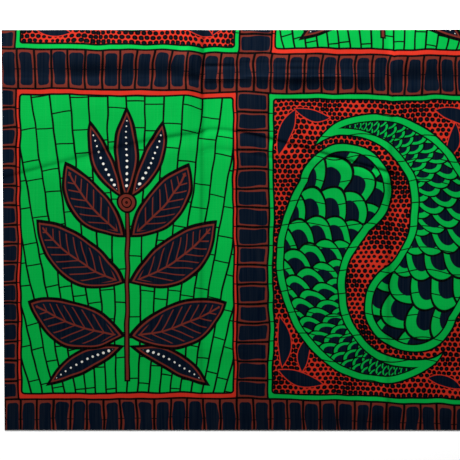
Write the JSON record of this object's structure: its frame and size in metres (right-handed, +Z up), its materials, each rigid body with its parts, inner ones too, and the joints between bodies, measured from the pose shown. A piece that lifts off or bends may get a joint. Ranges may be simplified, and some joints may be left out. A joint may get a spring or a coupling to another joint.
{
  "type": "ankara fabric",
  "caption": "Cut length of wax-printed cotton laid flat in one layer, with store folds pressed into it; rests on its flat underside.",
  "frame": {"origin": "centre of the cloth's outline, on the surface that it lies on", "axes": "+X along the longer side, towards the end that runs on across the loom; +Y towards the top edge as the print is seen; +Z up, out of the printed face"},
  "size_m": [0.5838, 0.46, 0.0043],
  "materials": {
    "wax_print_cotton": "plain-woven cotton with a wax-resist print in green, orange red, brown and navy, faint sheen"
  },
  "bodies": {
    "root": {"ankara_cloth": "wax_print_cotton"}
  },
  "joints": []
}
